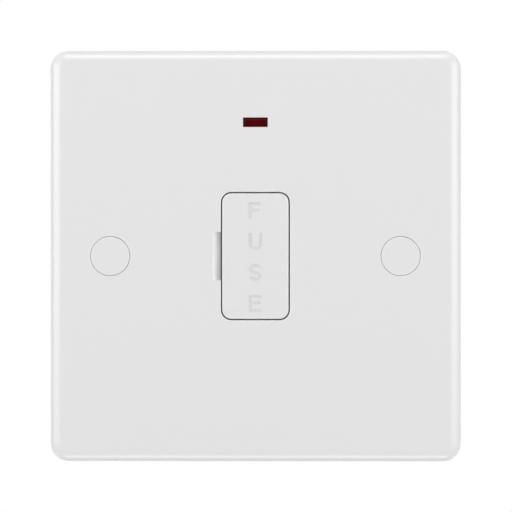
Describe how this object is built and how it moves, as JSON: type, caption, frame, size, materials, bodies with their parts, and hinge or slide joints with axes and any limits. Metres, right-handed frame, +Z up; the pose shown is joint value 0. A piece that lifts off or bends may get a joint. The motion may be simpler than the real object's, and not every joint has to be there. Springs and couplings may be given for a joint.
{
  "type": "fused spur unit",
  "caption": "Square moulded wall plate with a pull-out cartridge fuse carrier, a red neon window, screw caps, and a rear housing with clamp terminals.",
  "frame": {"origin": "centre of the plate's back plane, midway between the two fixing slots, where it lies on the wall", "axes": "+Z up, the front faces -Y, +Y goes into the wall"},
  "size_m": [0.086, 0.027, 0.086],
  "materials": {
    "white_moulding": "satin gloss urea moulding",
    "housing_moulding": "fine spark texture",
    "red_lens": "clear red, polished",
    "ceramic": "unglazed, smooth",
    "nickel_brass": "nickel plated",
    "brass": "turned and drilled",
    "plated_steel": "zinc plated",
    "copper": "drawn wire",
    "glass": "clear",
    "resistor_coat": "lacquer",
    "wire_sleeve": "soft sleeve"
  },
  "bodies": {
    "unit": {"front_plate": "white_moulding", "neon_lens": "red_lens", "rear_housing": "housing_moulding", "fuse_contact_upper": "nickel_brass", "fuse_contact_lower": "nickel_brass", "neutral_link": "nickel_brass", "live_load_terminal": "brass", "live_supply_terminal": "brass", "neutral_load_terminal": "brass", "neutral_supply_terminal": "brass", "earth_terminal": "brass", "terminal_screws": "brass", "housing_screws": "plated_steel", "neon_bulb": "glass", "neon_resistor": "resistor_coat", "neon_lead": "copper", "neon_wire_neutral": "wire_sleeve", "neon_wire_live": "wire_sleeve"},
    "fuse_drawer": {"fuse_carrier": "white_moulding", "fuse_tube": "ceramic", "fuse_cap_upper": "nickel_brass", "fuse_cap_lower": "nickel_brass", "fuse_wire": "copper"},
    "cap_left": {"screw_cap_left": "white_moulding"},
    "cap_right": {"screw_cap_right": "white_moulding"}
  },
  "joints": [
    {"name": "fuse_drawer_pull", "type": "slide", "parent": "unit", "child": "fuse_drawer", "axis": [0, -1, 0], "range_m": [0, 0.014]},
    {"name": "cap_left_pull", "type": "slide", "parent": "unit", "child": "cap_left", "axis": [0, -1, 0], "range_m": [0, 0.006]},
    {"name": "cap_right_pull", "type": "slide", "parent": "unit", "child": "cap_right", "axis": [0, -1, 0], "range_m": [0, 0.006]}
  ]
}
